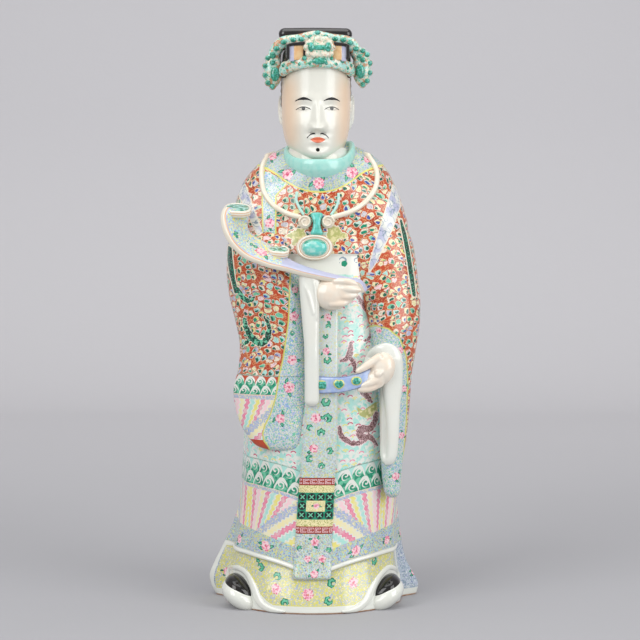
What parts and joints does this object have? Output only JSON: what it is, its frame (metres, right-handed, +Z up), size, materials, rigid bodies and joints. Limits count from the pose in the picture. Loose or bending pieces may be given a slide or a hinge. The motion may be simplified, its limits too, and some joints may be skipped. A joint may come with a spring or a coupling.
{
  "type": "porcelain standing figure",
  "caption": "Standing court official in moulded porcelain, in a long robe with wide hanging sleeves and a jewelled hat, holding a ruyi sceptre and a belt hoop; flat unglazed underside",
  "frame": {"origin": "on the flat underside, below the middle of the body, where the figure stands", "axes": "+Z up along the figure's height, the face and the open sleeves look along -Y, +X is towards the figure's left hand"},
  "size_m": [0.2185, 0.1733, 0.6],
  "materials": {
    "enamelled_porcelain": "white porcelain under clear glaze, painted all over the robe in famille rose enamels"
  },
  "bodies": {
    "root": {"figure": "enamelled_porcelain"}
  },
  "joints": []
}
